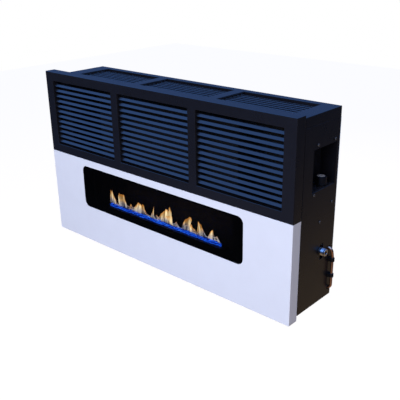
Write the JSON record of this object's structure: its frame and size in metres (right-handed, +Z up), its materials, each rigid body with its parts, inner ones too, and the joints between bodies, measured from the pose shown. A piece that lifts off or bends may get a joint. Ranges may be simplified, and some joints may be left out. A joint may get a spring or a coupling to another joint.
{
  "type": "wall mounted gas heater",
  "caption": "Wall hung gas room heater: black louvred fascia over a white one with a long flame window, warm air grilles on top, side hand recess with push-and-turn knob, outside gas pipe.",
  "frame": {"origin": "on the outer face of the rear panel, midway along the fascia and level with the necks of the keyholes that hang it on the wall", "axes": "+Z up, +Y out of the back into the wall, +X along the fascia towards the side with the control and the gas inlet"},
  "size_m": [1.0148, 0.2, 0.566],
  "materials": {
    "black_paint": "semi-gloss black powder coat",
    "white_paint": "gloss white powder coat",
    "black_glass": "polished black heat-resisting glass",
    "rope_seal": "woven glass fibre rope",
    "blackened_steel": "matt black heat-resisting coat",
    "bare_steel": "zinc plated sheet and castings",
    "brass": "machined brass",
    "nickel": "bright nickel plate",
    "copper": "drawn copper",
    "black_plastic": "moulded black plastic",
    "ceramic": "glazed ceramic"
  },
  "bodies": {
    "case": {"upper_fascia": "black_paint", "front_louvre_left": "black_paint", "front_louvre_centre": "black_paint", "front_louvre_right": "black_paint", "top_louvre_left": "black_paint", "top_louvre_centre": "black_paint", "top_louvre_right": "black_paint", "top_cover": "black_paint", "side_panel_left": "black_paint", "side_panel_right": "black_paint", "bottom_panel": "black_paint", "control_recess": "black_paint", "side_screw_1": "black_paint", "side_screw_2": "black_paint", "side_screw_3": "black_paint", "side_screw_4": "black_paint", "side_screw_5": "black_paint", "lower_fascia": "white_paint", "window_glass": "black_glass", "glass_gasket": "rope_seal", "glass_clamp_frame": "blackened_steel", "firebox": "blackened_steel", "heat_riser": "blackened_steel", "heat_baffle": "blackened_steel", "rear_panel": "bare_steel", "firebox_support_left": "bare_steel", "firebox_support_right": "bare_steel", "rear_heat_shield": "bare_steel", "burner": "bare_steel", "burner_saddle_left": "bare_steel", "burner_saddle_right": "bare_steel", "injector_bracket": "bare_steel", "gas_valve": "bare_steel", "valve_bracket": "bare_steel", "knob_spring": "bare_steel", "inlet_pipe": "bare_steel", "pilot_bracket": "bare_steel", "pilot_burner": "bare_steel", "fascia_screw_upper_left": "bare_steel", "fascia_screw_upper_right": "bare_steel", "fascia_screw_lower_left": "bare_steel", "fascia_screw_lower_right": "bare_steel", "injector": "brass", "inlet_nut": "brass", "supply_nut": "brass", "inlet_fitting": "nickel", "inlet_locknut": "nickel", "supply_pipe": "copper", "pilot_tube": "copper", "thermocouple": "copper", "pipe_clip_upper": "black_plastic", "pipe_clip_lower": "black_plastic", "ignition_lead": "black_plastic", "piezo_igniter": "black_plastic", "spark_electrode": "ceramic"},
    "stem": {"valve_push_rod": "brass"},
    "knob": {"control_knob": "black_plastic", "knob_spindle": "brass"}
  },
  "joints": [
    {"name": "knob_push", "type": "slide", "parent": "case", "child": "stem", "axis": [0, 0, -1], "range_m": [0, 0.003], "stiffness_N_per_m": 1200, "springref_m": -0.002, "deforming": ["knob_spring"]},
    {"name": "knob_turn", "type": "hinge", "parent": "stem", "child": "knob", "pos_m": [0.4805, -0.05, -0.12], "axis": [0, 0, 1], "range_deg": [0, 210]}
  ]
}
